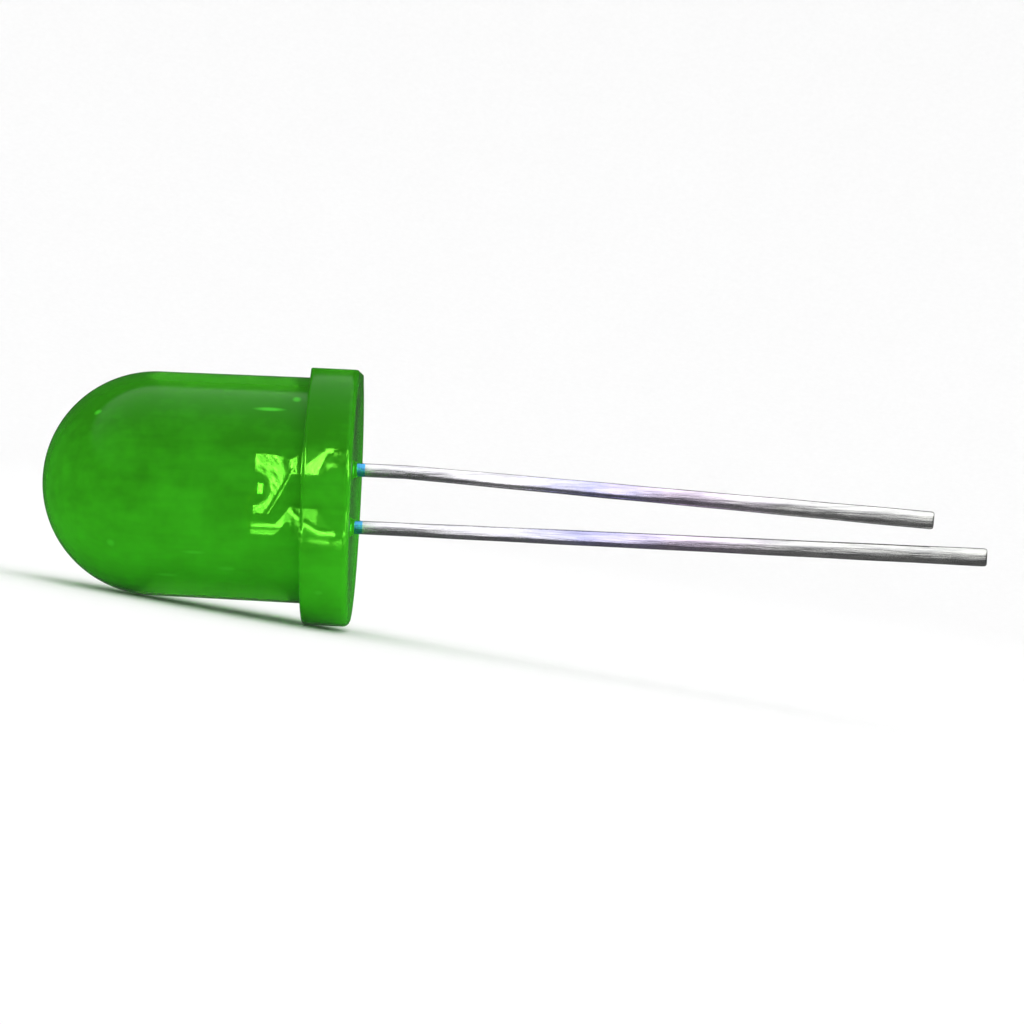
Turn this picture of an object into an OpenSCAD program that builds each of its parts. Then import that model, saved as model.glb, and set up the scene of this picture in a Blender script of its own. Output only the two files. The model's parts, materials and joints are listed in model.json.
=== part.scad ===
// A round through hole LED with a 10 mm epoxy lens and two square leads.
// The LED is drawn standing: Z runs from the seat of the flange to the dome,
// +X is the cathode side and Y is across the lead frame. place() then lays it
// down on its dome and on the rim of its flange, where a loose one comes to
// rest: its heavier anode side rolls under, so the cathode's flat is on top.

/* [Lens] */
// Diameter of the barrel and of the dome
lens_d = 10; // [8:0.1:12]
// Height from the seat of the flange to the top of the dome
lens_h = 13.85; // [11:0.05:17]
// How far the flange stands out from the barrel
flange_rim = 0.95; // [0.6:0.05:1.5]
// Thickness of the flange
flange_t = 2.1; // [1.4:0.05:2.6]
// How far the flat that marks the cathode side stands out from the barrel
flat_rim = 0.35; // [0.1:0.05:0.5]
// Radius of the flange's two outer edges
flange_edge_r = 0.3; // [0.1:0.05:0.5]

/* [Leads] */
// Distance between the middles of the two leads at the seat
lead_pitch = 2.54; // [2.2:0.02:3]
// How far the pair of leads sits off the axis, towards the anode side
lead_shift = 0.25; // [0:0.05:0.4]
// Width of a lead at the seat, along the lead frame
lead_w = 0.6; // [0.45:0.05:0.7]
// Width of a lead's tip, where the solder of the dip gathers
lead_tip_w = 0.8; // [0.5:0.05:0.9]
// Thickness of a lead's tip across the lead frame
lead_tip_t = 0.62; // [0.4:0.02:0.8]
// Length of the cathode lead below the seat
cathode_lead_len = 25.6; // [10:0.2:30]
// Length of the anode lead below the seat
anode_lead_len = 28; // [12:0.2:33]
// Length of the first stretch of both leads, which is square to the seat
lead_straight = 2.2; // [2.1:0.1:6]
// Lean of the rest of the cathode lead towards the anode lead, in degrees
cathode_lean = 2.5; // [0:0.1:3]

/* [Lead frame] */
// Thickness of the sheet that both halves are stamped from
sheet_t = 0.5; // [0.35:0.05:0.6]
// Height of the anvil's top above the seat
anvil_top = 4.42; // [4:0.02:5]
// Reach of the anvil from the axis towards the cathode side
anvil_out = 1.07; // [0.9:0.01:1.3]
// Reach of the anvil from the axis towards the anode side
anvil_in = 0.78; // [0.6:0.01:0.9]
// Height of the anvil's two straight sides
anvil_side = 0.75; // [0.5:0.05:0.9]
// Radius of the reflector cup
cup_r = 0.52; // [0.45:0.01:0.6]
// Depth of the cup's middle below the anvil's top
cup_sink = 0.08; // [0:0.01:0.15]
// Depth of the cup's flat floor below the anvil's top
cup_depth = 0.54; // [0.48:0.01:0.58]
// Rise of the post's top above the anvil's top
post_over = 0.08; // [0:0.02:0.4]
// Width of the head of the post
post_w = 0.44; // [0.3:0.02:0.6]
// Height of the head of the post
post_head = 1.1; // [0.8:0.05:1.4]
// Gap between the anvil and the post
post_gap = 0.19; // [0.12:0.01:0.4]
// Width of the two necks
neck_w = 0.5; // [0.35:0.05:0.6]
// Height of the two necks above the seat
neck_z = 2.65; // [2.4:0.05:3]
// Height of the shoulders of the feet above the seat
foot_top = 2.2; // [1.8:0.05:2.3]
// Height above the seat where the feet start to narrow to the leads
foot_waist = 1.45; // [1.1:0.05:1.7]
// Height of the underside of the feet above the seat
foot_base = 0.8; // [0.4:0.05:1]
// Gap between the two feet
foot_gap = 0.86; // [0.5:0.02:1]
// Reach of the barb on each foot past its lead
barb = 0.12; // [0.05:0.01:0.3]

/* [Chip and wire] */
// Side of the square chip
die_side = 0.3; // [0.2:0.01:0.32]
// Height of the chip
die_h = 0.28; // [0.15:0.01:0.35]
// Thickness of the glue under the chip
glue_t = 0.06; // [0.02:0.01:0.1]
// Radius of the pad of glue
glue_r = 0.22; // [0.16:0.01:0.24]
// Diameter of the bond wire
wire_d = 0.03; // [0.02:0.005:0.05]
// Rise of the wire's arch above the line between its two ends
wire_rise = 0.3; // [0.15:0.05:0.5]
// Radius of the ball bond and of the wedge bond
bond_r = 0.05; // [0.04:0.005:0.08]

/* [Hidden] */
$fn = 96;

lens_r = lens_d / 2;
flange_r = lens_r + flange_rim;
flat_x = lens_r + flat_rim;
dome_z = lens_h - lens_r;

// At rest one plane touches the dome and the round of the flange's front edge
edge_mid_x = flange_r - flange_edge_r;
edge_mid_z = flange_t - flange_edge_r;
edge_span = norm([edge_mid_x, dome_z - edge_mid_z]);
rest_tilt = atan2(edge_mid_x, dome_z - edge_mid_z) - asin((lens_r - flange_edge_r) / edge_span);
seat_height = dome_z * sin(rest_tilt) + lens_r;
dome_reach = dome_z * cos(rest_tilt) + lens_r;
cathode_x = lead_pitch / 2 - lead_shift;
anode_x = -lead_pitch / 2 - lead_shift;
lead_reach = anode_lead_len * cos(rest_tilt) + (lead_tip_w / 2 - anode_x) * sin(rest_tilt);
seat_place = [(dome_reach - lead_reach) / 2, 0, seat_height];

foot_in = foot_gap / 2;
shoulder_r = neck_z - foot_top;

cup_mid_z = anvil_top - cup_sink;
cup_floor_z = anvil_top - cup_depth;
die_z = cup_floor_z + glue_t;
die_top = die_z + die_h;
post_top = anvil_top + post_over;
post_in = anvil_in + post_gap;
post_x = -post_in - post_w / 2;

// The bond wire is an arc through the middles of both bonds
wire_chord = norm([post_x, post_top - die_top]);
wire_arc_r = (wire_chord * wire_chord / 4 + wire_rise * wire_rise) / (2 * wire_rise);
wire_half_turn = asin(wire_chord / 2 / wire_arc_r);
wire_climb = atan2(post_top - die_top, -post_x);

// Lays the standing LED down, dome towards -X and cathode side up
module place() {
    translate(seat_place)
        rotate([0, -90 - rest_tilt, 0])
            children();
}

// Stamps an outline drawn in X and Z out of the sheet
module stamp() {
    rotate([90, 0, 0])
        linear_extrude(sheet_t, center = true)
            children();
}

module lens_profile() {
    square([lens_r, dome_z]);
    intersection() {
        translate([0, dome_z])
            circle(lens_r);
        square([lens_r, lens_h]);
    }
    square([edge_mid_x, flange_t]);
    translate([0, flange_edge_r])
        square([flange_r, flange_t - 2 * flange_edge_r]);
    for (z = [flange_edge_r, edge_mid_z])
        translate([edge_mid_x, z])
            circle(flange_edge_r);
}

module lens_outside() {
    difference() {
        rotate_extrude()
            lens_profile();
        translate([flat_x, -flange_r, -1])
            cube([flange_r, 2 * flange_r, lens_h]);
    }
}

// A foot and the straight root of its lead, on the +X side of the axis
module foot_outline(lead_x) {
    lead_out = lead_x + lead_w / 2;
    barb_out = lead_out + barb;
    translate([lead_x - lead_w / 2, -lead_straight])
        square([lead_w, lead_straight + foot_base]);
    polygon([
        [foot_in, foot_top],
        [foot_in, foot_waist],
        [lead_x - lead_w / 2, foot_base],
        [lead_out, foot_base],
        [lead_out, foot_waist],
        [barb_out, foot_top],
    ]);
    difference() {
        translate([foot_in, foot_top])
            square([barb_out - foot_in, shoulder_r]);
        translate([barb_out, neck_z])
            circle(shoulder_r);
    }
}

// Anvil, neck and foot of the cathode half
module cathode_outline() {
    polygon([
        [-anvil_in, anvil_top],
        [anvil_out, anvil_top],
        [anvil_out, anvil_top - anvil_side],
        [foot_in + neck_w, neck_z],
        [foot_in, neck_z],
        [-anvil_in, anvil_top - anvil_side],
    ]);
    foot_outline(cathode_x);
}

// Post, neck and foot of the anode half
module anode_outline() {
    post_base = post_top - post_head;
    mirror([1, 0]) {
        translate([post_in, post_base])
            square([post_w, post_head]);
        polygon([
            [post_in, post_base],
            [post_in + post_w, post_base],
            [foot_in + neck_w, neck_z],
            [foot_in, neck_z],
        ]);
        foot_outline(-anode_x);
    }
}

module cup() {
    difference() {
        translate([0, 0, cup_mid_z])
            sphere(cup_r);
        translate([-cup_r, -cup_r, cup_floor_z - cup_r])
            cube([2 * cup_r, 2 * cup_r, cup_r]);
    }
}

module cathode_stamping() {
    difference() {
        stamp()
            cathode_outline();
        cup();
    }
}

module anode_stamping() {
    stamp()
        anode_outline();
}

// The stretch of a lead past its straight root, thicker towards its dipped tip
module lead_tail(x, length, lean) {
    slice = 0.01;
    translate([x, 0, -lead_straight])
        rotate([0, lean, 0])
            hull() {
                translate([-lead_w / 2, -sheet_t / 2, -slice])
                    cube([lead_w, sheet_t, slice]);
                translate([-lead_tip_w / 2, -lead_tip_t / 2, lead_straight - length])
                    cube([lead_tip_w, lead_tip_t, slice]);
            }
}

module glue() {
    translate([0, 0, cup_floor_z])
        cylinder(glue_t, r = glue_r);
}

module chip() {
    translate([-die_side / 2, -die_side / 2, die_z])
        cube([die_side, die_side, die_h]);
}

// The part of a bond's bead that stands above the metal or the chip under it
module bond_bead(x, z) {
    translate([x, 0, z])
        difference() {
            sphere(bond_r);
            translate([-bond_r, -bond_r, -2 * bond_r])
                cube(2 * bond_r);
        }
}

module wire_arch() {
    arc_mid_drop = wire_arc_r - wire_rise;
    difference() {
        translate([post_x / 2, 0, (post_top + die_top) / 2])
            rotate([0, wire_climb, 0])
                translate([0, 0, -arc_mid_drop])
                    rotate([90, 0, 0])
                        rotate_extrude(angle = 2 * wire_half_turn, start = 90 - wire_half_turn)
                            translate([wire_arc_r, 0])
                                circle(wire_d / 2, $fn = 24);
        translate([post_x - bond_r, -bond_r, post_top - 2 * bond_r])
            cube(2 * bond_r);
        translate([-bond_r, -bond_r, die_top - 2 * bond_r])
            cube(2 * bond_r);
    }
}

module wire() {
    bond_bead(0, die_top);
    bond_bead(post_x, post_top);
    wire_arch();
}

module lens() {
    color([0.2, 0.6, 0.1, 0.6])
        place()
            difference() {
                lens_outside();
                cathode_stamping();
                anode_stamping();
                glue();
                chip();
                wire();
            }
}

module cathode_frame() {
    color("silver")
        place() {
            cathode_stamping();
            lead_tail(cathode_x, cathode_lead_len, cathode_lean);
        }
}

module anode_frame() {
    color("lightgrey")
        place() {
            anode_stamping();
            lead_tail(anode_x, anode_lead_len, 0);
        }
}

module die_attach() {
    color("grey")
        place()
            glue();
}

module led_die() {
    color("darkseagreen")
        place()
            chip();
}

module bond_wire() {
    color("gold")
        place()
            wire();
}

lens();
cathode_frame();
anode_frame();
die_attach();
led_die();
bond_wire();
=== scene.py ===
# A loose 10 mm through hole LED, lying on its dome and the rim of its flange
import bpy
import bmesh
import json
import math
import random
from mathutils import Matrix, Vector, noise
from mathutils.geometry import delaunay_2d_cdt


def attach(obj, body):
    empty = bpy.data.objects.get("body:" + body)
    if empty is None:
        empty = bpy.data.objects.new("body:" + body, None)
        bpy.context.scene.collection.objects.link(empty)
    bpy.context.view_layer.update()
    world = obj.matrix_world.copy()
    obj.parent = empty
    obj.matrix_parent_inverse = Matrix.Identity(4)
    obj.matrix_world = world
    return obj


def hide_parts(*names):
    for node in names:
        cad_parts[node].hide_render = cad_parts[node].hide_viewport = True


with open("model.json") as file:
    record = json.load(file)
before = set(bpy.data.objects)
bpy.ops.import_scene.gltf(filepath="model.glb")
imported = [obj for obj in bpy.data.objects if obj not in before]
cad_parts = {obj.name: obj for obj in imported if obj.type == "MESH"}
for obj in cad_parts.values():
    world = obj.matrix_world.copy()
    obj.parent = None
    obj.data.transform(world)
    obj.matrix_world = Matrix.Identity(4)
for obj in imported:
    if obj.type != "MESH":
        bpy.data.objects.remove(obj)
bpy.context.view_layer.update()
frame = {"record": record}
print("frame loaded")

mm = 0.001
mounts = {m["name"]: m for m in frame["record"]["mounts"]}

# The LED's own axes: middle of the seat, towards the flat, across the lead frame, towards the dome
seat = Vector(mounts["board_seat"]["pos_m"])
toDome = -Vector(mounts["board_seat"]["axis"]).normalized()
across = Vector((0.0, 1.0, 0.0))
toFlat = across.cross(toDome)
ledAxes = Matrix((toFlat, across, toDome)).transposed()
ledToRow = Matrix.Translation(seat) @ (ledAxes * mm).to_4x4()


def linearColour(hexColour):
    out = []
    for i in (1, 3, 5):
        c = int(hexColour[i:i + 2], 16) / 255
        out.append(c / 12.92 if c <= 0.04045 else ((c + 0.055) / 1.055) ** 2.4)
    return (*out, 1.0)


def addNode(tree, kind, values=None, links=None, **settings):
    # values go to sockets, links bring (node, output) pairs to them, settings are the node's own
    node = tree.nodes.new(kind)
    for key, value in settings.items():
        setattr(node, key, value)
    for key, value in (values or {}).items():
        node.inputs[key].default_value = value
    for key, (source, output) in (links or {}).items():
        tree.links.new(source.outputs[output], node.inputs[key])
    return node


def newMaterial(name):
    mat = bpy.data.materials.new(name)
    mat.use_nodes = True
    mat.node_tree.nodes.clear()
    return mat, mat.node_tree


def smoothStep(low, high, x):
    t = min(1.0, max(0.0, (x - low) / (high - low)))
    return t * t * (3 - 2 * t)


def segmentDistance(x, y, a, b):
    dx, dy = b[0] - a[0], b[1] - a[1]
    t = ((x - a[0]) * dx + (y - a[1]) * dy) / (dx * dx + dy * dy)
    t = min(1.0, max(0.0, t))
    return math.hypot(x - a[0] - t * dx, y - a[1] - t * dy)


def pathDistance(x, y, points):
    return min(segmentDistance(x, y, a, b) for a, b in zip(points, points[1:]))


def inOutline(x, y, points):
    inside = False
    for (ax, ay), (bx, by) in zip(points, points[1:] + points[:1]):
        if (ay > y) != (by > y) and x < (bx - ax) * (y - ay) / (by - ay) + ax:
            inside = not inside
    return inside


def areaMask(x, y, points, blur):
    # 1 well inside the outline, 0 well outside it
    d = pathDistance(x, y, points + points[:1])
    return smoothStep(-blur, blur, d if inOutline(x, y, points) else -d)


def bridgeLoops(bm, loopA, loopB):
    n = len(loopA)
    for i in range(n):
        j = (i + 1) % n
        bm.faces.new((loopA[i], loopA[j], loopB[j], loopB[i]))


def fillLoop(bm, loop, flatten, inner, place):
    # Triangles inside a closed loop: flatten gives a vertex in 2D, place puts an inner 2D point in space
    points = [Vector(flatten(v.co)) for v in loop]
    n = len(points)
    edges = [(i, (i + 1) % n) for i in range(n)]
    verts, _, faces, origin, _, _ = delaunay_2d_cdt(points + [Vector(p) for p in inner], edges, [], 1, 1e-7)
    made = []
    for i, p in enumerate(verts):
        rim = [k for k in origin[i] if k < n]
        made.append(loop[rim[0]] if rim else bm.verts.new(place(p.x, p.y)))
    for face in faces:
        corners = [made[k] for k in face]
        if len(set(corners)) > 2:
            bm.faces.new(corners)


def finishPiece(bm, name, material, cadNodes, tone=None):
    # bm is drawn in the LED's own axes, in millimetres
    hollows = [f for f in bm.faces if f.tag]
    bmesh.ops.recalc_face_normals(bm, faces=bm.faces)
    bmesh.ops.reverse_faces(bm, faces=hollows)
    mesh = bpy.data.meshes.new(name)
    bm.to_mesh(mesh)
    bm.free()
    # patterns are laid out in mm on the LED
    ledPoint = mesh.attributes.new("ledPoint", "FLOAT_VECTOR", "POINT")
    for i, v in enumerate(mesh.vertices):
        ledPoint.data[i].vector = v.co
    if tone:  # red: inside the lens, green: painted shine (painted highlights and painted shade), blue: heat tint
        finishAndPaintedShine = mesh.attributes.new("finishAndPaintedShine", "FLOAT_COLOR", "POINT")
        for i, v in enumerate(mesh.vertices):
            finishAndPaintedShine.data[i].color = (*tone(v.co), 1.0)
    mesh.transform(ledToRow)
    mesh.shade_smooth()
    mesh.set_sharp_from_angle(angle=math.radians(40))
    mesh.materials.append(material)
    piece = bpy.data.objects.new(name, mesh)
    bpy.context.scene.collection.objects.link(piece)
    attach(piece, "root")
    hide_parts(*cadNodes)
    print(name, len(mesh.polygons), "faces")


# Dyed epoxy, cast in a polished mould: the mould leaves it smooth and half clear, so the lead frame shows
# through, with the dye a little cloudy and drawn out in faint streaks. The seat set in open air, and is dull.
# Painted light is laid into its colour: paler away from the flat and at the seat, with pale painted glints.
epoxyLook = {
    "dye": "#54FA2C",
    "dyeDeep": "#3AAA18",
    # painted glint: the colour of the pale painted spots and dashes
    "paintedGlint": "#5CFF38",
    "milk": 0.5,             # share of light that the dye scatters at the skin
    "absorb": "#D8B4E8",     # lilac evens out the skin's green, so that metal inside looks pale green
    "density": 140.0,
    "ior": 1.53,
    "specular": 0.06,
    "sheen": "#28662A",      # colour of what the skin mirrors
    "roughness": 0.07,
    "seatRough": 0.3,
    "seatFrom": 0.02, "seatTo": 0.1,  # mm above the seat where its dull finish gives way to the mould's
    "paintedPalingPerMm": 0.12,         # painted light: the colour grows paler away from the flat, by this share a millimetre
    "seatPaintedPaling": 0.4,         # painted light: paler at the seat too, and this much less so seatDeep mm up
    "seatDeep": 0.3,
    "cloudMm": 1.7,
    "streakMm": 0.35,        # real streaks are finer: drawn coarser to show
    "streakStretch": 0.12,
    "streakShare": 0.35,
    "wavesPerMm": 0.9,
    "bump": 0.02,
    "bumpM": 0.0002,
}


# Painted glints: pale spots and short dashes painted on the skin where small lamps glint: (towards flat,
# across, towards dome), radius, stretch lengthwise
paintedGlintSpots = [
    ((-2.67, -3.92, 10.31), 0.18, 1.0), ((3.92, -3.10, 2.62), 0.17, 1.0), ((3.43, -3.63, 3.75), 0.11, 5.5),
    ((2.95, -3.22, 11.2), 0.13, 1.5), ((-3.55, -3.48, 5.3), 0.12, 3.0), ((-3.95, -3.0, 7.9), 0.11, 4.0),
    ((-2.9, -4.03, 6.7), 0.09, 5.0), ((-4.4, -3.98, 1.25), 0.15, 1.2), ((1.6, 4.7, 7.4), 0.12, 3.0),
]


def paintedGlintsOver(tree, place, colour):
    # lays the painted glints over a colour and gives the new one
    for (x, y, z), r, stretch in paintedGlintSpots:
        off = addNode(tree, "ShaderNodeMapping",
                      {"Location": (-x, -y, -z / stretch), "Scale": (1.0, 1.0, 1 / stretch)},
                      {"Vector": (place, "Vector")})
        away = addNode(tree, "ShaderNodeVectorMath", links={0: (off, 0)}, operation="LENGTH")
        spot = addNode(tree, "ShaderNodeMapRange", {"From Min": r * 1.3, "From Max": r * 0.5},
                       {"Value": (away, "Value")})
        colour = addNode(tree, "ShaderNodeMix", {7: linearColour(epoxyLook["paintedGlint"])},
                         {0: (spot, 0), 6: (colour, 2)}, data_type="RGBA")
    return colour


def dyedEpoxy():
    look = epoxyLook
    mat, tree = newMaterial("dyedEpoxyCast")
    place = addNode(tree, "ShaderNodeAttribute", attribute_name="ledPoint")
    cloud = addNode(tree, "ShaderNodeTexNoise",
                    {"Scale": 1 / look["cloudMm"], "Detail": 3.0, "Roughness": 0.6},
                    {"Vector": (place, "Vector")})
    long = addNode(tree, "ShaderNodeMapping", {"Scale": (1.0, 1.0, look["streakStretch"])},
                   {"Vector": (place, "Vector")})
    streak = addNode(tree, "ShaderNodeTexNoise", {"Scale": 1 / look["streakMm"], "Detail": 2.0},
                     {"Vector": (long, "Vector")})
    both = addNode(tree, "ShaderNodeMath", {1: look["streakShare"]}, {0: (streak, "Fac"), 2: (cloud, "Fac")},
                   operation="MULTIPLY_ADD")
    ramp = addNode(tree, "ShaderNodeMapRange", {"From Min": 0.3, "From Max": 1.3}, {"Value": (both, 0)})
    split = addNode(tree, "ShaderNodeSeparateXYZ", links={"Vector": (place, "Vector")})
    # mottling, plus painted light: the colour grows paler away from the flat
    sunk = addNode(tree, "ShaderNodeMath", {1: -look["paintedPalingPerMm"]}, {0: (split, "X"), 2: (ramp, 0)},
                   operation="MULTIPLY_ADD")
    # painted light: the colour is paler at the seat, fading out seatDeep mm up
    pale = addNode(tree, "ShaderNodeMapRange",
                   {"From Min": 0.0, "From Max": look["seatDeep"], "To Min": look["seatPaintedPaling"], "To Max": 0.0},
                   {"Value": (split, "Z")})
    level = addNode(tree, "ShaderNodeMath", links={0: (sunk, 0), 1: (pale, 0)},
                    operation="ADD", use_clamp=True)
    colour = addNode(tree, "ShaderNodeMix", {6: linearColour(look["dyeDeep"]), 7: linearColour(look["dye"])},
                     {0: (level, 0)}, data_type="RGBA")
    colour = paintedGlintsOver(tree, place, colour)
    wave = addNode(tree, "ShaderNodeTexNoise", {"Scale": look["wavesPerMm"], "Detail": 2.0},
                   {"Vector": (place, "Vector")})
    bump = addNode(tree, "ShaderNodeBump", {"Strength": look["bump"], "Distance": look["bumpM"]},
                   {"Height": (wave, "Fac")})
    cast = addNode(tree, "ShaderNodeMapRange",
                   {"To Min": look["roughness"] * 0.7, "To Max": look["roughness"] * 1.6},
                   {"Value": (cloud, "Fac")})
    rough = addNode(tree, "ShaderNodeMapRange",
                    {"From Min": look["seatFrom"], "From Max": look["seatTo"], "To Min": look["seatRough"]},
                    {"Value": (split, "Z"), "To Max": (cast, 0)})
    skin = addNode(tree, "ShaderNodeBsdfPrincipled",
                   {"Transmission Weight": 1 - look["milk"], "IOR": look["ior"],
                    "Specular IOR Level": look["specular"], "Specular Tint": linearColour(look["sheen"])},
                   {"Base Color": (colour, 2), "Roughness": (rough, 0), "Normal": (bump, 0)})
    body = addNode(tree, "ShaderNodeVolumeAbsorption",
                   {"Color": linearColour(look["absorb"]), "Density": look["density"]})
    addNode(tree, "ShaderNodeOutputMaterial", links={"Surface": (skin, 0), "Volume": (body, 0)})
    return mat


# One closed casting: barrel and dome, flange with its flat, seat with a small meniscus round each lead
lensSizes = {
    "barrelR": 5.0, "height": 13.845,
    "flangeR": 5.935, "flangeT": 2.1, "flatX": 5.35,
    "edgeR": 0.3, "flatEdgeR": 0.1, "rootR": 0.1,
    "draft": 0.045,          # the barrel narrows this much towards the dome, to leave its mould
    "around": 320,
    "meniscus": 0.3, "meniscusReach": 0.1, "seatDish": 0.25, "dishR": 5.1,
}

# The two leads: place across the seat, length below it, degrees that one leans to the other
leads = {
    "cathode": {"x": 1.02, "length": 25.6, "lean": 2.5},
    "anode": {"x": -1.52, "length": 28.0, "lean": 0.0},
}
leadSizes = {
    "halfWide": 0.3, "halfDeep": 0.25,
    "tipWide": 0.1, "tipDeep": 0.06,   # what the solder adds at the tip
    "straight": 2.2,                   # length below the seat before a lead leans
    "crown": 0.55,                     # 1 would make the section round and 0 square
    "twist": 7.0,                      # degrees along the middle of a lead
    "tipRound": [(0.16, 1.0), (0.09, 0.985), (0.04, 0.95), (0.012, 0.89), (0.0, 0.8)],
    "around": 48,
}


def leadGap(x, y):
    # distance from a point of the seat to the nearest lead
    beside = min(max(0.0, abs(x - lead["x"]) - leadSizes["halfWide"]) for lead in leads.values())
    return math.hypot(beside, max(0.0, abs(y) - leadSizes["halfDeep"]))


def seatHeight(x, y):
    s = lensSizes
    dish = s["seatDish"] * max(0.0, 1 - (math.hypot(x, y) / s["dishR"]) ** 3)
    return dish - s["meniscus"] * math.exp(-leadGap(x, y) / s["meniscusReach"])


# Air left in the casting: (towards flat, across, towards dome), radius, stretch along the LED
bubbleSpots = [
    ((-2.67, -3.70, 10.31), 0.085, 1.0),
    ((3.92, -2.85, 2.42), 0.075, 1.0),
    ((3.43, -3.35, 3.25), 0.038, 14.0),
    ((3.44, -3.33, 2.60), 0.045, 2.0),
    ((2.3, -3.2, 11.6), 0.05, 1.0), ((1.2, -4.2, 9.9), 0.04, 1.0), ((-3.6, -2.9, 6.2), 0.045, 2.5),
    ((-3.9, -2.6, 4.6), 0.05, 1.0), ((-3.2, -3.4, 7.6), 0.03, 5.0), ((1.6, -4.3, 7.4), 0.035, 1.0),
    ((-3.7, 2.4, 5.4), 0.06, 1.0), ((2.9, 3.3, 8.1), 0.05, 2.0), ((0.8, 4.1, 9.6), 0.06, 1.0),
]


def bubbles(bm):
    for (x, y, z), r, stretch in bubbleSpots:
        rings = []
        for t in range(-75, 76, 15):
            t0 = math.radians(t)
            rings.append([bm.verts.new((x + r * math.cos(t0) * math.cos(2 * math.pi * k / 24),
                                        y + r * math.cos(t0) * math.sin(2 * math.pi * k / 24),
                                        z + r * stretch * math.sin(t0))) for k in range(24)])
        for loopA, loopB in zip(rings, rings[1:]):
            bridgeLoops(bm, loopA, loopB)
        for ring, end in ((rings[0], -1), (rings[-1], 1)):
            pole = bm.verts.new((x, y, z + end * r * stretch))
            for k in range(24):
                bm.faces.new((ring[k], ring[(k + 1) % 24], pole))
        for face in {f for ring in rings for v in ring for f in v.link_faces}:
            face.tag = True  # a hollow: its faces are turned to face the air in it


def buildLens():
    s = lensSizes
    corner = math.acos(s["flatX"] / s["flangeR"])
    turns = [2 * math.pi * i / s["around"] - math.pi for i in range(s["around"])]
    turns = sorted([a for a in turns if abs(abs(a) - corner) > 0.008] + [corner, -corner])
    bm = bmesh.new()

    def rim(a, inward):
        # a point of the flange's outline, moved inwards
        if abs(a) < corner:
            x = s["flatX"]
            return x - inward, (x - inward) * math.tan(a)
        r = s["flangeR"] - inward
        return r * math.cos(a), r * math.sin(a)

    def edgeSize(a):
        k = smoothStep(corner - 0.03, corner + 0.05, abs(a))
        return s["flatEdgeR"] + (s["edgeR"] - s["flatEdgeR"]) * k

    loops = []
    for t in (-90, -72, -54, -36, -18, 0):
        ring = []
        for a in turns:
            e, t0 = edgeSize(a), math.radians(t)
            ring.append(bm.verts.new((*rim(a, e - e * math.cos(t0)), e + e * math.sin(t0))))
        loops.append(ring)
    for t in (0, 18, 36, 54, 72, 90):
        ring = []
        for a in turns:
            e, t0 = edgeSize(a) * 0.6, math.radians(t)
            ring.append(bm.verts.new((*rim(a, e - e * math.cos(t0)), s["flangeT"] - e + e * math.sin(t0))))
        loops.append(ring)
    rings = []
    for t in (0, 22, 45, 67, 90):
        out, up = s["rootR"] * (1 - math.sin(math.radians(t))), s["rootR"] * (1 - math.cos(math.radians(t)))
        rings.append((s["barrelR"] + out, s["flangeT"] + up))
    domeZ = s["height"] - s["barrelR"]
    domeR = s["barrelR"] - s["draft"]
    for i in range(1, 8):
        rings.append((s["barrelR"] - s["draft"] * i / 8, rings[4][1] + (domeZ - rings[4][1]) * i / 8))
    for i in range(0, 64):
        t0 = math.radians(90) * i / 64
        rings.append((domeR * math.cos(t0), domeZ + s["barrelR"] * math.sin(t0)))
    for r, z in rings:
        loops.append([bm.verts.new((r * math.cos(a), r * math.sin(a), z)) for a in turns])
    for loopA, loopB in zip(loops, loops[1:]):
        bridgeLoops(bm, loopA, loopB)
    top = bm.verts.new((0, 0, s["height"]))
    last = loops[-1]
    for i in range(len(last)):
        bm.faces.new((last[i], last[(i + 1) % len(last)], top))

    bubbles(bm)

    inner = []
    for r in (0.6, 1.2, 1.8, 2.4, 2.8, 3.2, 3.6, 3.9, 4.2, 4.5, 4.7, 4.9, 5.0):
        n = int(24 + 26 * r)
        inner += [(r * math.cos(2 * math.pi * i / n), r * math.sin(2 * math.pi * i / n)) for i in range(n)]
    inner = [p for p in inner if leadGap(*p) > 0.36]
    step = 0.045
    for i in range(-50, 51):
        for j in range(-20, 21):
            p = (i * step, j * step)
            if 0.0 < leadGap(*p) < 0.34:
                inner.append(p)
    fillLoop(bm, loops[0], lambda c: (c.x, c.y), inner, lambda x, y: (x, y, seatHeight(x, y)))
    finishPiece(bm, "lens", dyedEpoxy(), ["lens"])


buildLens()


# Steel lead frame, silver plated inside the lens and solder dipped outside it. Plating gives a soft mirror;
# inside the lens its bright and dark areas are painted highlights and painted shade. The dip leaves a
# brighter, uneven coat over the wire's drawing lines, and its heat a faint mauve tint halfway and a blue one
# at the seat.
steelLook = {
    "silver": "#FFCCF6",     # a rosy silver, which the green skin turns pale green: the painted highlights inside the lens
    # painted shade: the near-black copy of the silver
    "paintedShadeSilver": "#1C1E1C",
    "solder": "#FAFAFC",
    "solderDull": "#BCBCC2",
    # heat tint along a lead, from its tip to the seat
    "tints": [(0.0, "#E0E2DA"), (0.40, "#ECECE8"), (0.56, "#F4E4F8"), (0.72, "#D0D0F8"), (0.86, "#FCFAFC"),
              (1.0, "#ECEAEC")],
    "tintWander": 5.0,       # mm that a tint's edge wanders
    "root": "#55ADEC",
    "rootMm": 0.36,          # length of the blue tint at the seat
    "metallic": 0.9,         # a thin haze of oxide scatters the rest
    "smooth": 0.13, "rough": 0.27,
    "drawMm": 0.16,          # real drawing lines are about 0.02 mm apart: drawn coarser to show
    "drawStretch": 0.06,
    "poolMm": 1.4,           # pools of thicker solder
    "bump": 0.25,
    "bumpM": 0.00004,
}


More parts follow.
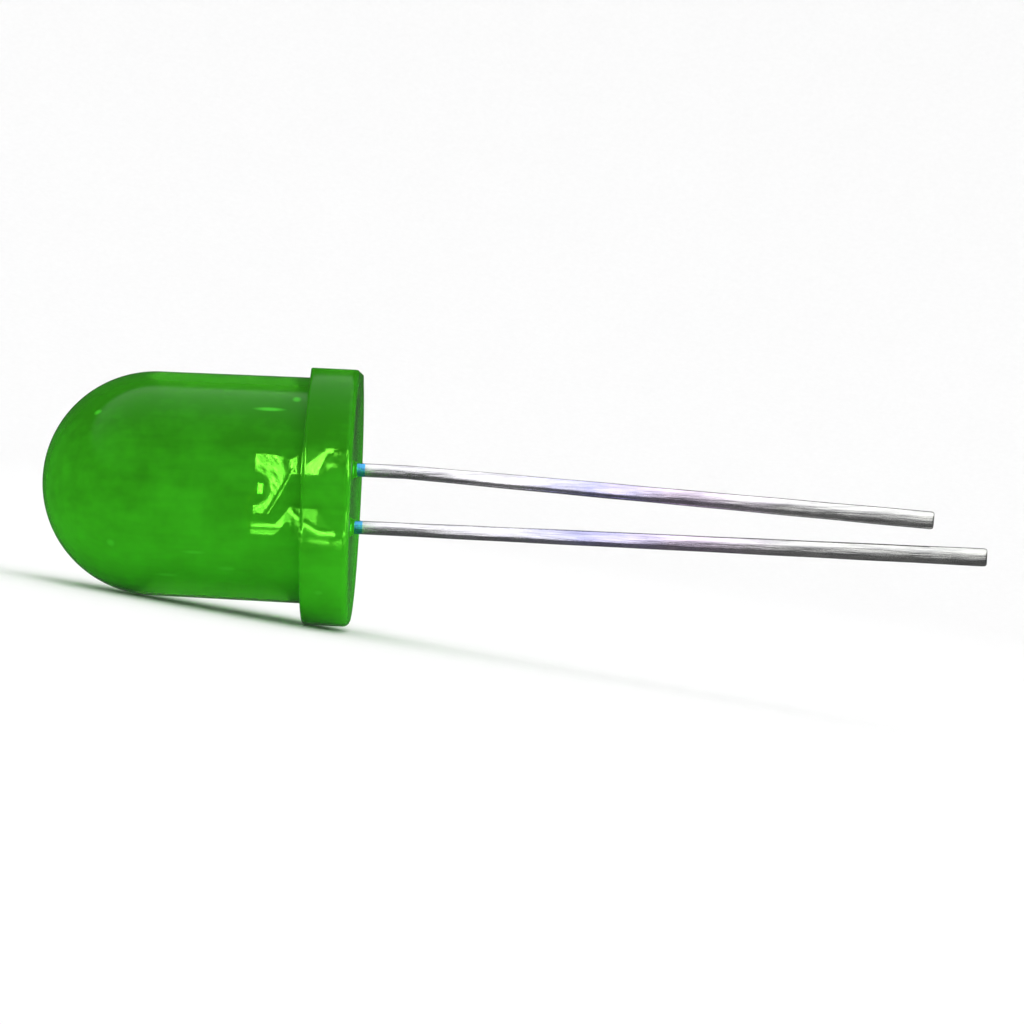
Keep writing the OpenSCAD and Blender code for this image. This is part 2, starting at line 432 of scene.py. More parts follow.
def platedSteel():
    look = steelLook
    mat, tree = newMaterial("solderDippedSteel")
    place = addNode(tree, "ShaderNodeAttribute", attribute_name="ledPoint")
    finishAndPaintedShine = addNode(tree, "ShaderNodeAttribute", attribute_name="finishAndPaintedShine")
    split = addNode(tree, "ShaderNodeSeparateColor", links={"Color": (finishAndPaintedShine, "Color")})
    long = addNode(tree, "ShaderNodeMapping", {"Scale": (1.0, 1.0, look["drawStretch"])},
                   {"Vector": (place, "Vector")})
    draw = addNode(tree, "ShaderNodeTexNoise",
                   {"Scale": 1 / look["drawMm"], "Detail": 4.0, "Roughness": 0.65},
                   {"Vector": (long, "Vector")})
    pool = addNode(tree, "ShaderNodeTexNoise", {"Scale": 1 / look["poolMm"], "Detail": 3.0},
                   {"Vector": (place, "Vector")})
    wet = addNode(tree, "ShaderNodeMapRange", {"From Min": 0.35, "From Max": 0.7}, {"Value": (draw, "Fac")})
    solder = addNode(tree, "ShaderNodeMix",
                     {6: linearColour(look["solder"]), 7: linearColour(look["solderDull"])},
                     {0: (wet, 0)}, data_type="RGBA")
    # painted highlights and painted shade: silver mixed with its dark copy by the painted shine
    silver = addNode(tree, "ShaderNodeMix",
                     {6: linearColour(look["paintedShadeSilver"]), 7: linearColour(look["silver"])},
                     {0: (split, "Green")}, data_type="RGBA")
    axes = addNode(tree, "ShaderNodeSeparateXYZ", links={"Vector": (place, "Vector")})
    wander = addNode(tree, "ShaderNodeMath", {1: look["tintWander"]}, {0: (pool, "Fac"), 2: (axes, "Z")},
                     operation="MULTIPLY_ADD")
    along = addNode(tree, "ShaderNodeMapRange", {"From Min": -leads["anode"]["length"], "From Max": 0.0},
                    {"Value": (wander, 0)})
    tint = addNode(tree, "ShaderNodeValToRGB", links={"Fac": (along, 0)})
    for k, (where, colour) in enumerate(look["tints"]):
        stop = tint.color_ramp.elements[k] if k < 2 else tint.color_ramp.elements.new(where)
        stop.position, stop.color = where, linearColour(colour)
    tinted = addNode(tree, "ShaderNodeMix", {0: 1.0}, {6: (solder, 2), 7: (tint, "Color")},
                     data_type="RGBA", blend_type="MULTIPLY")
    metal = addNode(tree, "ShaderNodeMix", links={0: (split, "Red"), 6: (tinted, 2), 7: (silver, 2)},
                    data_type="RGBA")
    colour = addNode(tree, "ShaderNodeMix", {7: linearColour(look["root"])},
                     {0: (split, "Blue"), 6: (metal, 2)}, data_type="RGBA")
    rough = addNode(tree, "ShaderNodeMapRange",
                    {"From Min": 0.3, "From Max": 0.7, "To Min": look["smooth"], "To Max": look["rough"]},
                    {"Value": (pool, "Fac")})
    bump = addNode(tree, "ShaderNodeBump", {"Strength": look["bump"], "Distance": look["bumpM"]},
                   {"Height": (draw, "Fac")})
    skin = addNode(tree, "ShaderNodeBsdfPrincipled", {"Metallic": look["metallic"]},
                   {"Base Color": (colour, 2), "Roughness": (rough, 0), "Normal": (bump, 0)})
    addNode(tree, "ShaderNodeOutputMaterial", links={"Surface": (skin, 0)})
    return mat


steel = platedSteel()


# Both halves are stamped from one sheet, so their edges are a little rolled
stampSizes = {
    "sheet": 0.5, "edgeR": 0.06, "grid": 0.045,
    "cupR": 0.52, "cupMidZ": 4.34, "cupFloorZ": 3.88,
}


def roundedOutline(corners):
    # corners are (x, z, radius): arcs joined by straight sides, always with the same number of points
    n = len(corners)
    out = []
    for i in range(n):
        x, z, r = corners[i]
        here = Vector((x, z))
        if r == 0:
            out.append((here, False))
            continue
        a = Vector(corners[i - 1][:2]) - here
        b = Vector(corners[(i + 1) % n][:2]) - here
        half = a.angle(b) / 2
        back = min(r * math.cos(half) / math.sin(half), a.length * 0.48, b.length * 0.48)
        first, last = here + a.normalized() * back, here + b.normalized() * back
        for k in range(6):
            t = k / 5
            out.append((first * (1 - t) ** 2 + here * 2 * t * (1 - t) + last * t * t, k == 5))
    points = []
    for i, (p, sideNext) in enumerate(out):
        q = out[(i + 1) % len(out)][0]
        steps = 8 if sideNext else 1
        points += [p.lerp(q, k / steps) for k in range(steps)]
    return points


def insetOutline(points, inward):
    # outline runs anticlockwise, so its inside is on the left
    n = len(points)
    out = []
    for i in range(n):
        a, b = points[i] - points[i - 1], points[(i + 1) % n] - points[i]
        side = (Vector((-a.y, a.x)).normalized() + Vector((-b.y, b.x)).normalized()).normalized()
        out.append(points[i] + side * inward)
    return out


def sheetLevels():
    # pairs of depth in the sheet and how far the rolled edge has gone in there
    s = stampSizes
    half, e = s["sheet"] / 2, s["edgeR"]
    turns = [math.radians(t) for t in (0, 22, 45, 67, 90)]
    ends = [(half - e + e * math.sin(t), e - e * math.cos(t)) for t in turns]
    return [(-y, d) for y, d in reversed(ends)] + [(0.0, 0.0)] + ends


def stampInto(bm, outlineAt, relief):
    # outlineAt(y) gives the outline at one depth of the sheet; relief(x, z) sinks its two faces
    s = stampSizes
    loops = []
    for y, inward in sheetLevels():
        points = insetOutline(outlineAt(y), inward)
        loops.append([bm.verts.new((p.x, y, p.y)) for p in points])
    for loopA, loopB in zip(loops, loops[1:]):
        bridgeLoops(bm, loopA, loopB)
    for loop, side in ((loops[0], -1), (loops[-1], 1)):
        border = [(v.co.x, v.co.z) for v in loop]
        xs, zs = [p[0] for p in border], [p[1] for p in border]
        inner = []
        g = s["grid"]
        for i in range(int(min(xs) / g) - 1, int(max(xs) / g) + 2):
            for j in range(int(min(zs) / g) - 1, int(max(zs) / g) + 2):
                x, z = i * g, j * g
                if inOutline(x, z, border) and pathDistance(x, z, border + border[:1]) > g * 0.6:
                    inner.append((x, z))
        fillLoop(bm, loop, lambda c: (c.x, c.z), inner,
                 lambda x, z: (x, side * (s["sheet"] / 2 - relief(x, z)), z))


def leadInto(bm, x, length, lean):
    # a lead with crowned faces and soft corners; solder thickens it towards its dipped tip
    s = leadSizes
    straight, tail = s["straight"], length - s["straight"]
    stations = [(1.15, 0.8), (0.95, 0.96), (0.74, 1.0), (0.3, 1.0), (0.0, 1.0)]  # height, size of the section
    stations += [(-z, 1.0) for z in (0.01, 0.34, 0.38, 0.8, 1.2, 1.7, straight)]
    stations += [(-straight - tail * i / 60, 1.0) for i in range(1, 60)]
    stations += [(-length + back, size) for back, size in s["tipRound"]]
    loops = []
    for z, size in stations:
        t = max(0.0, (-z - straight) / tail)
        w, d = s["halfWide"] + s["tipWide"] * t, s["halfDeep"] + s["tipDeep"] * t
        if t > 0:  # a drawn lead is never quite even
            w += 0.004 * math.sin(5.1 * t * 7 + x)
            d += 0.003 * math.sin(3.3 * t * 9 + x)
        ring = []
        for k in range(s["around"]):
            a = 2 * math.pi * k / s["around"]
            ring.append(Vector((w * size * math.copysign(abs(math.cos(a)) ** s["crown"], math.cos(a)),
                                d * size * math.copysign(abs(math.sin(a)) ** s["crown"], math.sin(a)), 0)))
        turn = Matrix.Rotation(math.radians(lean) if z < -straight else 0.0, 4, "Y")
        pivot = Vector((x, 0, -straight))
        middle = pivot + turn @ Vector((0, 0, z + straight)) if z < -straight else Vector((x, 0, z))
        twisted = s["twist"] * smoothStep(-3.0, -5.5, z) * smoothStep(-14.0, -11.0, z)
        twist = Matrix.Rotation(math.radians(twisted), 4, "Z")
        loops.append([bm.verts.new(middle + turn @ twist @ p) for p in ring])
    for loopA, loopB in zip(loops, loops[1:]):
        bridgeLoops(bm, loopA, loopB)
    bm.faces.new(loops[0])
    end = loops[-1]
    middle = sum((v.co for v in end), Vector()) / len(end)
    tip = bm.verts.new(middle + Vector((0, 0, -0.006)))
    for i in range(len(end)):
        bm.faces.new((end[i], end[(i + 1) % len(end)], tip))


def cathodeOutline(y):
    # anticlockwise from the top of the anvil, with the reflector cup cut through the sheet
    s = stampSizes
    r = math.sqrt(s["cupR"] ** 2 - y * y)
    start = math.asin((4.42 - s["cupMidZ"]) / r)
    notch = []
    for k in range(25):
        a = start - (math.pi + 2 * start) * k / 24
        notch.append((r * math.cos(a), max(s["cupFloorZ"], s["cupMidZ"] + r * math.sin(a)), 0))
    lead = leads["cathode"]["x"]
    body = [(-0.78, 4.42, 0.09), (-0.78, 3.67, 0.12), (0.43, 2.65, 0.1), (0.43, 1.45, 0.1),
            (lead - 0.3, 0.8, 0.08), (lead + 0.3, 0.8, 0.08), (lead + 0.3, 1.45, 0.15),
            (lead + 0.42, 2.2, 0.07)]
    for t in (75, 60, 45, 30, 15):
        a = math.radians(180 + t)
        body.append((lead + 0.42 + 0.45 * math.cos(a), 2.65 + 0.45 * math.sin(a), 0.08))
    body += [(0.94, 2.72, 0.1), (1.07, 3.67, 0.12)]
    return roundedOutline([(1.07, 4.42, 0.09)] + notch + body)


def anodeOutline(y):
    body = [(-0.97, 4.5, 0.1), (-1.41, 4.5, 0.1), (-1.41, 3.4, 0.15), (-0.94, 2.72, 0.1)]
    lead = leads["anode"]["x"]
    for t in (15, 30, 45, 60, 75):
        a = math.radians(180 + t)
        body.append((lead - 0.42 - 0.45 * math.cos(a), 2.65 + 0.45 * math.sin(a), 0.08))
    body += [(lead - 0.42, 2.2, 0.07), (lead - 0.3, 1.45, 0.15), (lead - 0.3, 0.8, 0.08),
             (lead + 0.3, 0.8, 0.08), (-0.43, 1.45, 0.1), (-0.43, 2.65, 0.1), (-0.97, 3.4, 0.15)]
    return roundedOutline(body)


# Outlines on each half: the foot's rib stands proud and a groove is coined under the anvil; the same outlines
# place painted highlights and painted shade: a bright rib down the foot, a dark line by the anvil's edge,
# duller shoulders, a dark neck, a bright strand and bars
coinedAndPaintedOutlines = {
    "leaf": [(0.40, 2.12), (0.76, 2.01), (1.03, 1.64), (1.25, 1.3), (1.30, 1.0), (1.11, 1.0), (1.05, 1.25),
             (0.73, 1.37), (0.41, 1.6)],
    "anvilEdge": [(-0.80, 3.67), (0.42, 2.63)],
    "neck": [(0.40, 2.80), (0.62, 3.10), (1.25, 3.25), (1.25, 2.80)],
    "paintedHighlightStrand": [(0.40, 2.64), (0.92, 2.70), (1.12, 2.42)],
    "anodeBand": [(-0.60, 2.75), (-0.72, 2.45), (-0.98, 1.95), (-1.21, 1.46), (-1.24, 0.8)],
    "paintedHighlightBar": [(-1.5, 1.7), (-1.52, 0.8)],
}


def cathodeRelief(x, z):
    c = coinedAndPaintedOutlines
    d = segmentDistance(x, z, *c["anvilEdge"])
    groove = 0.025 * math.exp(-((d - 0.15) / 0.035) ** 2)
    sunk = 0.03 * (1 - areaMask(x, z, c["leaf"], 0.05)) * smoothStep(2.45, 2.2, z)
    return groove + sunk


def leadZones(z):
    # 1 inside the lens, and 1 on the tinted stretch at the seat
    inside = smoothStep(0.0, 0.02, z)
    root = smoothStep(-steelLook["rootMm"] - 0.02, -steelLook["rootMm"] + 0.02, z) * (1 - inside)
    return inside, root


def brushed(x, z, turn):
    # streaks of polish about 0.1 mm apart, running at an angle across a face
    t = math.radians(turn)
    along, aside = x * math.cos(t) + z * math.sin(t), -x * math.sin(t) + z * math.cos(t)
    broad = noise.noise(Vector((along * 2.2, aside * 9.0, 3.0)))
    return broad + 0.5 * noise.noise(Vector((along * 5, aside * 16, 7.0)))


# painted highlights and painted shade on the cathode half: bright rib, dark shoulders, a dark line beside the
# anvil's edge, a dark neck, darker round the cup, bright strand and bars
def cathodeZonesAndPaintedShine(p):
    c = coinedAndPaintedOutlines
    x, z = p.x, p.z
    inside, root = leadZones(z)
    if z < 2.5:
        leaf = areaMask(x, z, c["leaf"], 0.04)
        shoulder = smoothStep(2.5, 2.3, z)
        bars = smoothStep(1.3, 1.2, z) * smoothStep(0.66, 0.70, x)
        bar = smoothStep(1.04, 1.08, x) * 0.9 * smoothStep(0.85, 1.0, z) + smoothStep(0.86, 0.82, x) * 0.4
        paintedShine = 0.8 * (1 - shoulder) + shoulder * max(0.03, leaf)
        paintedShine = paintedShine * (1 - bars) + bars * bar
    else:
        d = segmentDistance(x, z, *c["anvilEdge"])
        paintedShine = 0.45 + 0.8 * brushed(x, z, 50)
        paintedShine -= 0.9 * math.exp(-((d - 0.17) / 0.06) ** 2)
        paintedShine = max(paintedShine, 0.9 * smoothStep(0.11, 0.06, d))
        paintedShine *= 1 - 0.95 * areaMask(x, z, c["neck"], 0.05)
        paintedShine *= smoothStep(0.40, 0.47, math.hypot(x, z - 4.08))
    paintedShine = max(paintedShine, smoothStep(0.08, 0.04, pathDistance(x, z, c["paintedHighlightStrand"])))
    return inside, min(1.0, max(0.02, paintedShine)), root


def anodeRelief(x, z):
    d = pathDistance(x, z, coinedAndPaintedOutlines["anodeBand"])
    return 0.03 * smoothStep(0.06, 0.12, d) * smoothStep(2.6, 2.4, z)


# painted highlights and painted shade on the anode half: bright and dimmer bars on the head with a dark line
# between, a bright band and bar on the foot
def anodeZonesAndPaintedShine(p):
    c = coinedAndPaintedOutlines
    x, z = p.x, p.z
    inside, root = leadZones(z)
    if z > 3.0:
        paintedShine = 0.58 if x > -1.16 else 0.35
        paintedShine = paintedShine + 0.1 * brushed(x, z, 90)
        if -1.23 < x < -1.14:
            paintedShine = 0.02
    else:
        band = smoothStep(0.12, 0.05, pathDistance(x, z, c["anodeBand"]))
        bar = smoothStep(0.08, 0.04, pathDistance(x, z, c["paintedHighlightBar"]))
        centre = smoothStep(-0.47, -0.52, x) * (1 if x > -1.05 and z > 1.5 else 0)
        paintedShine = max(0.02, 0.3 * centre + 0.05 * brushed(x, z, 30), 0.75 * band, 0.4 * bar)
    return inside, min(1.0, max(0.02, paintedShine)), root


def buildHalf(name, outlineAt, relief, tone, lead, cadNode):
    bm = bmesh.new()
    stampInto(bm, outlineAt, relief)
    leadInto(bm, lead["x"], lead["length"], lead["lean"])
    finishPiece(bm, name, steel, [cadNode], tone)


buildHalf("cathodeHalf", cathodeOutline, cathodeRelief, cathodeZonesAndPaintedShine, leads["cathode"], "cathode_frame")
buildHalf("anodeHalf", anodeOutline, anodeRelief, anodeZonesAndPaintedShine, leads["anode"], "anode_frame")


# Epoxy filled with silver flakes, dotted on and baked: grey and grainy, half shiny, with a fillet up the chip
glueLook = {
    "colour": "#B9B7AE", "flake": "#8E8C84",
    "metallic": 0.7, "roughness": 0.5,
    "flakeMm": 0.02,         # real flakes are about 0.01 mm: drawn coarser to show
    "bump": 0.4, "bumpM": 0.000004,
}
# radius and height of the dot, from its foot up
glueRings = [(0.20, 3.875), (0.222, 3.885), (0.215, 3.915), (0.195, 3.95), (0.178, 3.985), (0.16, 4.0),
             (0.1, 3.99)]


def silverEpoxy():
    look = glueLook
    mat, tree = newMaterial("silverFilledEpoxy")
    place = addNode(tree, "ShaderNodeAttribute", attribute_name="ledPoint")
    flake = addNode(tree, "ShaderNodeTexVoronoi", {"Scale": 1 / look["flakeMm"]},
                    {"Vector": (place, "Vector")})
    colour = addNode(tree, "ShaderNodeMix", {6: linearColour(look["flake"]), 7: linearColour(look["colour"])},
                     {0: (flake, "Distance")}, data_type="RGBA")
    bump = addNode(tree, "ShaderNodeBump", {"Strength": look["bump"], "Distance": look["bumpM"]},
                   {"Height": (flake, "Distance")})
    skin = addNode(tree, "ShaderNodeBsdfPrincipled",
                   {"Metallic": look["metallic"], "Roughness": look["roughness"]},
                   {"Base Color": (colour, 2), "Normal": (bump, 0)})
    addNode(tree, "ShaderNodeOutputMaterial", links={"Surface": (skin, 0)})
    return mat


def buildGlue():
    bm = bmesh.new()
    rnd = random.Random(4)
    wobble = [rnd.uniform(-0.012, 0.012) for _ in range(12)]
    loops = []
    for r, z in glueRings:
        squared = 0.7 * smoothStep(3.9, 3.98, z)  # the fillet takes on the chip's corners
        ring = []
        for k in range(48):
            a = 2 * math.pi * k / 48
            w = wobble[k // 4] * (1 - k % 4 / 4) + wobble[(k // 4 + 1) % 12] * (k % 4 / 4)
            square = 1 / max(abs(math.cos(a)), abs(math.sin(a)))
            out = (r + w) * (1 + squared * (square - 1))
            ring.append(bm.verts.new((out * math.cos(a), out * math.sin(a), z)))
        loops.append(ring)
    for loopA, loopB in zip(loops, loops[1:]):
        bridgeLoops(bm, loopA, loopB)
    bm.faces.new(loops[0])
    bm.faces.new(loops[-1])
    finishPiece(bm, "dieAttach", silverEpoxy(), ["die_attach"])


buildGlue()


# Semiconductor crystal, sawn from a wafer: straw coloured with a dark metallic sheen, fine saw marks on its
# sides, and a gold pad evaporated on its top
chipLook = {
    "crystal": "#F4F8E6", "sawn": "#D9E4C0", "pad": "#D8B050",
    "roughness": 0.2, "metallic": 0.85,
    "sawMm": 0.02,           # real saw marks are about 0.003 mm: drawn coarser to show
    "bump": 0.3, "bumpM": 0.000003,
}
chipSizes = {"side": 0.3, "low": 3.94, "high": 4.22, "chamfer": 0.012, "padR": 0.055}


def sawnCrystal():
    look = chipLook
    mat, tree = newMaterial("sawnCrystal")
    place = addNode(tree, "ShaderNodeAttribute", attribute_name="ledPoint")
    finishAndPaintedShine = addNode(tree, "ShaderNodeAttribute", attribute_name="finishAndPaintedShine")
    split = addNode(tree, "ShaderNodeSeparateColor", links={"Color": (finishAndPaintedShine, "Color")})
    marks = addNode(tree, "ShaderNodeTexNoise", {"Scale": 1 / look["sawMm"], "Detail": 3.0},
                    {"Vector": (place, "Vector")})
    side = addNode(tree, "ShaderNodeMix", {6: linearColour(look["sawn"]), 7: linearColour(look["crystal"])},
                   {0: (marks, "Fac")}, data_type="RGBA")
    colour = addNode(tree, "ShaderNodeMix", {7: linearColour(look["pad"])}, {0: (split, "Red"), 6: (side, 2)},
                     data_type="RGBA")
    bump = addNode(tree, "ShaderNodeBump", {"Strength": look["bump"], "Distance": look["bumpM"]},
                   {"Height": (marks, "Fac")})
    skin = addNode(tree, "ShaderNodeBsdfPrincipled",
                   {"Roughness": look["roughness"], "Metallic": look["metallic"]},
                   {"Base Color": (colour, 2), "Normal": (bump, 0)})
    addNode(tree, "ShaderNodeOutputMaterial", links={"Surface": (skin, 0)})
    return mat


def buildChip():
    s = chipSizes
    bm = bmesh.new()
    half, c = s["side"] / 2, s["chamfer"]
    loops = []
    for inward, z in ((c, s["low"]), (0, s["low"] + c), (0, s["high"] - c), (c, s["high"])):
        h = half - inward
        ring = [(-h, -h), (h, -h), (h, h), (-h, h)]
        dense = []
        for p, q in zip(ring, ring[1:] + ring[:1]):
            dense += [(p[0] + (q[0] - p[0]) * k / 12, p[1] + (q[1] - p[1]) * k / 12) for k in range(12)]
        loops.append([bm.verts.new((x, y, z)) for x, y in dense])
    for loopA, loopB in zip(loops, loops[1:]):
        bridgeLoops(bm, loopA, loopB)
    bm.faces.new(loops[0])
    inner = []
    for r in (0.02, 0.04, s["padR"], s["padR"] + 0.004, 0.09):
        inner += [(r * math.cos(2 * math.pi * k / 24), r * math.sin(2 * math.pi * k / 24)) for k in range(24)]
    fillLoop(bm, loops[-1], lambda v: (v.x, v.y), inner, lambda x, y: (x, y, s["high"]))

    def tone(p):
        onPad = p.z > s["high"] - 0.001 and math.hypot(p.x, p.y) < s["padR"] + 0.001
        return (1.0 if onPad else 0.0, 0.0, 0.0)

    finishPiece(bm, "ledChip", sawnCrystal(), ["led_die"], tone)


buildChip()


# Gold wire, drawn through a diamond die: warm and nearly a mirror, with faint drawing lines
wireLook = {
    "gold": "#F2C668", "goldDeep": "#D9A23E",
    "smooth": 0.12, "rough": 0.3,
    "lineMm": 0.01,          # real drawing lines are far finer: drawn coarser to show
}
wireSizes = {"r": 0.015, "postX": -1.19, "postTop": 4.5, "chipTop": 4.22, "rise": 0.3, "ballR": 0.05}


def drawnGold():
    look = wireLook
    mat, tree = newMaterial("drawnGold")
    place = addNode(tree, "ShaderNodeAttribute", attribute_name="ledPoint")
    lines = addNode(tree, "ShaderNodeTexNoise", {"Scale": 1 / look["lineMm"], "Detail": 2.0},
                    {"Vector": (place, "Vector")})
    rough = addNode(tree, "ShaderNodeMapRange", {"To Min": look["smooth"], "To Max": look["rough"]},
                    {"Value": (lines, "Fac")})
    colour = addNode(tree, "ShaderNodeMix",
                     {6: linearColour(look["gold"]), 7: linearColour(look["goldDeep"])},
                     {0: (lines, "Fac")}, data_type="RGBA")
    skin = addNode(tree, "ShaderNodeBsdfPrincipled", {"Metallic": 1.0},
                   {"Base Color": (colour, 2), "Roughness": (rough, 0)})
    addNode(tree, "ShaderNodeOutputMaterial", links={"Surface": (skin, 0)})
    return mat


def beadInto(bm, x, z, r, squash):
    # the pressed bead at one end of the wire
    loops = []
    for t in range(0, 90, 15):
        t0 = math.radians(t)
        loops.append([bm.verts.new((x + r * math.cos(t0) * math.cos(2 * math.pi * k / 20),
                                    r * math.cos(t0) * math.sin(2 * math.pi * k / 20),
                                    z + squash * r * math.sin(t0))) for k in range(20)])
    for loopA, loopB in zip(loops, loops[1:]):
        bridgeLoops(bm, loopA, loopB)
    bm.faces.new(loops[0])
    bm.faces.new(loops[-1])


def buildWire():
    s = wireSizes
    bm = bmesh.new()
    start, stop = Vector((0, 0, s["chipTop"])), Vector((s["postX"], 0, s["postTop"]))
    chord = (stop - start).length
    arcR = (chord * chord / 4 + s["rise"] ** 2) / (2 * s["rise"])
    halfTurn = math.asin(chord / 2 / arcR)
    along = (stop - start).normalized()
    up = Vector((-along.z, 0, along.x))
    if up.z < 0:
        up = -up
    mid = (start + stop) / 2 - up * (arcR - s["rise"])
    loops = []
    for i in range(49):
        t = -halfTurn + 2 * halfTurn * i / 48
        out = up * math.cos(t) + along * math.sin(t)
        centre = mid + out * arcR
        around = [2 * math.pi * k / 16 for k in range(16)]
        loops.append([bm.verts.new(centre + s["r"] * (out * math.cos(a) + across * math.sin(a)))
                      for a in around])
    for loopA, loopB in zip(loops, loops[1:]):
        bridgeLoops(bm, loopA, loopB)
    bm.faces.new(loops[0])
    bm.faces.new(loops[-1])
    beadInto(bm, 0, s["chipTop"], s["ballR"], 0.8)
    beadInto(bm, s["postX"], s["postTop"], s["ballR"], 0.6)
    finishPiece(bm, "bondWire", drawnGold(), ["bond_wire"])


buildWire()


# Matte white paper, rolled out flat under the LED and curved up all round: an even, shadeless white
stageSizes = {"flatR": 0.5, "bendR": 0.35, "high": 1.1}
paperLook = {"paper": "#F4F4F4", "fibre": "#FAFAFA", "fibresPerMm": 0.9, "roughness": 0.9, "specular": 0.1}


def buildSweep():
    s = stageSizes
    bm = bmesh.new()
    profile = [(r, 0.0) for r in (0.02, 0.05, 0.1, 0.2, 0.3, 0.4, s["flatR"])]
    for i in range(1, 25):
        t = math.radians(90) * i / 24
        profile.append((s["flatR"] + s["bendR"] * math.sin(t), s["bendR"] * (1 - math.cos(t))))
    profile.append((s["flatR"] + s["bendR"], s["high"]))
    loops = [[bm.verts.new((r * math.cos(2 * math.pi * k / 128), r * math.sin(2 * math.pi * k / 128), z))
              for k in range(128)] for r, z in profile]
    for loopA, loopB in zip(loops, loops[1:]):
        bridgeLoops(bm, loopA, loopB)
    bm.faces.new(loops[0])
    bmesh.ops.recalc_face_normals(bm, faces=bm.faces)
    bmesh.ops.reverse_faces(bm, faces=bm.faces)
    mesh = bpy.data.meshes.new("sweep")
    bm.to_mesh(mesh)
    bm.free()
    mesh.shade_smooth()
    sweep = bpy.data.objects.new("sweep", mesh)
    bpy.context.scene.collection.objects.link(sweep)
    mat, tree = newMaterial("mattePaper")
    place = addNode(tree, "ShaderNodeTexCoord")
    fibre = addNode(tree, "ShaderNodeTexNoise", {"Scale": paperLook["fibresPerMm"] / mm, "Detail": 3.0},
                    {"Vector": (place, "Object")})
    colour = addNode(tree, "ShaderNodeMix",
                     {6: linearColour(paperLook["paper"]), 7: linearColour(paperLook["fibre"])},
                     {0: (fibre, "Fac")}, data_type="RGBA")
    skin = addNode(tree, "ShaderNodeBsdfPrincipled",
                   {"Roughness": paperLook["roughness"], "Specular IOR Level": paperLook["specular"]},
                   {"Base Color": (colour, 2)})
    addNode(tree, "ShaderNodeOutputMaterial", links={"Surface": (skin, 0)})
    mesh.materials.append(mat)
    sweep.visible_glossy = sweep.visible_transmission = False  # no floor line in the lens or on the leads


buildSweep()

# Studio light: an even pale room, which shiny surfaces and the lens see much dimmer than it lights
studio = {
    "room": 1.3,
    "throughLens": 0.2,            # what shows of the room through the lens
    "dark": 0.05, "bright": 1.75,  # what shines on metal: a dim room with one broad soft light in it
    "softWay": (-0.1, -0.50, 0.86),
    "aim": (-0.005, 0, 0.006),     # what the softbox and the top light face
    "softFrom": 0.47, "softTo": 0.60,
    # round softbox at the camera that reaches through the lens to the lead frame
    "softbox": {"azimuth": -8.0, "elevation": -2.0, "distance": 0.5, "radius": 0.2, "strength": 54.0},
    "top": {"azimuth": 0.0, "elevation": 86.0, "distance": 0.7, "size": 0.4, "watts": 0.5},
}


def aimed(place):
    # where a light stands, and its turn to face the LED
    a, e = math.radians(place["azimuth"]), math.radians(place["elevation"])
    out = Vector((math.sin(a) * math.cos(e), -math.cos(a) * math.cos(e), math.sin(e)))
    where = Vector(studio["aim"]) + out * place["distance"]
    return Matrix.Translation(where) @ (-out).to_track_quat("-Z", "Y").to_matrix().to_4x4()


def buildSoftbox():
    s = studio["softbox"]
    bm = bmesh.new()
    rim = [2 * math.pi * k / 64 for k in range(64)]
    bm.faces.new([bm.verts.new((s["radius"] * math.cos(a), s["radius"] * math.sin(a), 0)) for a in rim])
    bm.transform(aimed(s))
    mesh = bpy.data.meshes.new("softbox")
    bm.to_mesh(mesh)
    bm.free()
    mat, tree = newMaterial("softboxCloth")
    ray = addNode(tree, "ShaderNodeLightPath")  # lit only for light that a mirror inside the lens sends back
    turned = addNode(tree, "ShaderNodeMath", {1: s["strength"]}, {0: (ray, "Glossy Depth")},
                     operation="MULTIPLY")
    level = addNode(tree, "ShaderNodeMath", {1: s["strength"]}, {0: (turned, 0)}, operation="MINIMUM")
    glow = addNode(tree, "ShaderNodeEmission", links={"Strength": (level, 0)})
    addNode(tree, "ShaderNodeOutputMaterial", links={"Surface": (glow, 0)})
    mat.cycles.emission_sampling = "NONE"
    mesh.materials.append(mat)
    box = bpy.data.objects.new("softbox", mesh)
    bpy.context.scene.collection.objects.link(box)
    box.visible_camera = box.visible_diffuse = box.visible_glossy = box.visible_shadow = False


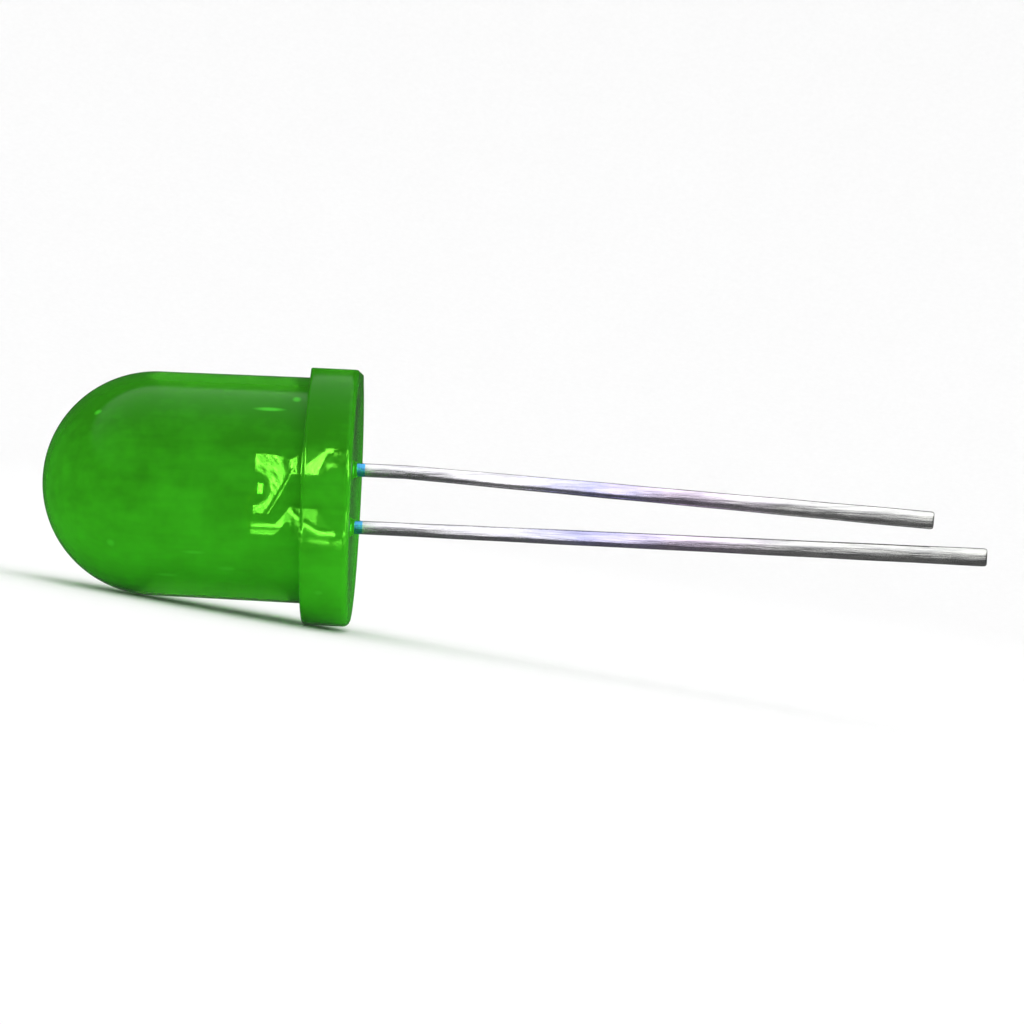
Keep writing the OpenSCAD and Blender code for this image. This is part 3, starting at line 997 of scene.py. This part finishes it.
def buildStudio():
    scene = bpy.context.scene
    world = bpy.data.worlds.new("studioRoom")
    scene.world = world
    world.use_nodes = True
    tree = world.node_tree
    tree.nodes.clear()
    way = addNode(tree, "ShaderNodeTexCoord")
    soft = addNode(tree, "ShaderNodeVectorMath", {1: Vector(studio["softWay"]).normalized()},
                   {0: (way, "Generated")}, operation="DOT_PRODUCT")
    step = addNode(tree, "ShaderNodeMapRange",
                   {"From Min": studio["softFrom"], "From Max": studio["softTo"],
                    "To Min": studio["dark"], "To Max": studio["bright"]},
                   {"Value": (soft, "Value")}, interpolation_type="SMOOTHSTEP")
    ray = addNode(tree, "ShaderNodeLightPath")
    seen = addNode(tree, "ShaderNodeMix", {2: studio["room"]}, {0: (ray, "Is Glossy Ray"), 3: (step, 0)},
                   data_type="FLOAT")
    level = addNode(tree, "ShaderNodeMix", {3: studio["throughLens"]},
                    {0: (ray, "Is Transmission Ray"), 2: (seen, 0)}, data_type="FLOAT")
    back = addNode(tree, "ShaderNodeBackground", {"Color": linearColour("#FFFFFF")}, {"Strength": (level, 0)})
    addNode(tree, "ShaderNodeOutputWorld", links={"Surface": (back, 0)})
    s = studio["top"]
    data = bpy.data.lights.new("topLight", "AREA")
    data.shape, data.size, data.energy = "DISK", s["size"], s["watts"]
    light = bpy.data.objects.new("topLight", data)
    light.matrix_world = aimed(s)
    light.visible_camera = light.visible_glossy = False
    scene.collection.objects.link(light)


buildSoftbox()
buildStudio()

# Level camera at the side of the lead frame, rolled so that the leads run down to the right
shot = {"distance": 0.16, "roll": 10.11, "alongRight": 6.903, "alongUp": -0.845, "frameWidth": 0.04531}


def buildCamera():
    roll = math.radians(shot["roll"])
    right = Vector((math.cos(roll), 0, math.sin(roll)))
    up = Vector((-math.sin(roll), 0, math.cos(roll)))
    back = right.cross(up)
    aim = seat + (right * shot["alongRight"] + up * shot["alongUp"]) * mm
    data = bpy.data.cameras.new("camera")
    data.sensor_width = 36.0
    data.lens = 36.0 * shot["distance"] / shot["frameWidth"]
    data.clip_start, data.clip_end = 0.001, 10.0
    camera = bpy.data.objects.new("camera", data)
    turn = Matrix((right, up, back)).transposed()
    camera.matrix_world = Matrix.Translation(aim + back * shot["distance"]) @ turn.to_4x4()
    bpy.context.scene.collection.objects.link(camera)
    bpy.context.scene.camera = camera


buildCamera()
bpy.context.scene.view_settings.view_transform = "Standard"
print("stage, lights and camera set")
